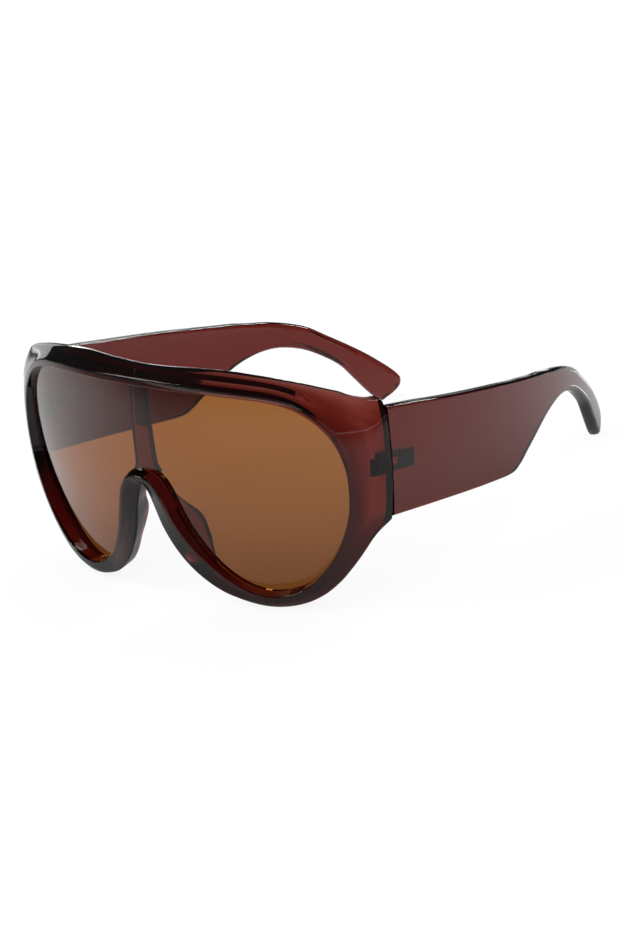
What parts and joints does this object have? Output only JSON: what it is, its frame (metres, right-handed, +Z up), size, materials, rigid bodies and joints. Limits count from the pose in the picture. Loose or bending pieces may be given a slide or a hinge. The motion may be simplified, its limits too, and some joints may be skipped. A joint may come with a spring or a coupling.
{
  "type": "shield sunglasses",
  "caption": "Wide shield sunglasses: one curved tinted lens in a full plastic front, with broad plastic temples that fold on screwed metal hinges.",
  "frame": {"origin": "middle of the footprint on the table that the rims and the temple tips rest on", "axes": "+Z up, -Y the way the front faces, +Y back along the open temples, +X the wearer's left"},
  "size_m": [0.148, 0.17, 0.075],
  "materials": {
    "brown_plastic": "polished translucent dark brown injection-moulded plastic",
    "lens_tint": "polished brown-tinted clear lens plastic",
    "hinge_metal": "plain nickel-grey hinge metal"
  },
  "bodies": {
    "front": {"front_frame": "brown_plastic", "shield_lens": "lens_tint", "front_hinge_leaf_left": "hinge_metal", "front_hinge_leaf_right": "hinge_metal"},
    "left_temple": {"temple_left": "brown_plastic", "temple_hinge_leaf_left": "hinge_metal", "hinge_screw_left": "hinge_metal"},
    "right_temple": {"temple_right": "brown_plastic", "temple_hinge_leaf_right": "hinge_metal", "hinge_screw_right": "hinge_metal"}
  },
  "joints": [
    {"name": "left_temple_fold", "type": "hinge", "parent": "front", "child": "left_temple", "pos_m": [0.06819, -0.05053, 0.0434], "axis": [0, 0.0785, 0.9969], "range_deg": [0, 79.5]},
    {"name": "right_temple_fold", "type": "hinge", "parent": "front", "child": "right_temple", "pos_m": [-0.06819, -0.05053, 0.0434], "axis": [0, -0.0785, -0.9969], "range_deg": [0, 60]}
  ]
}
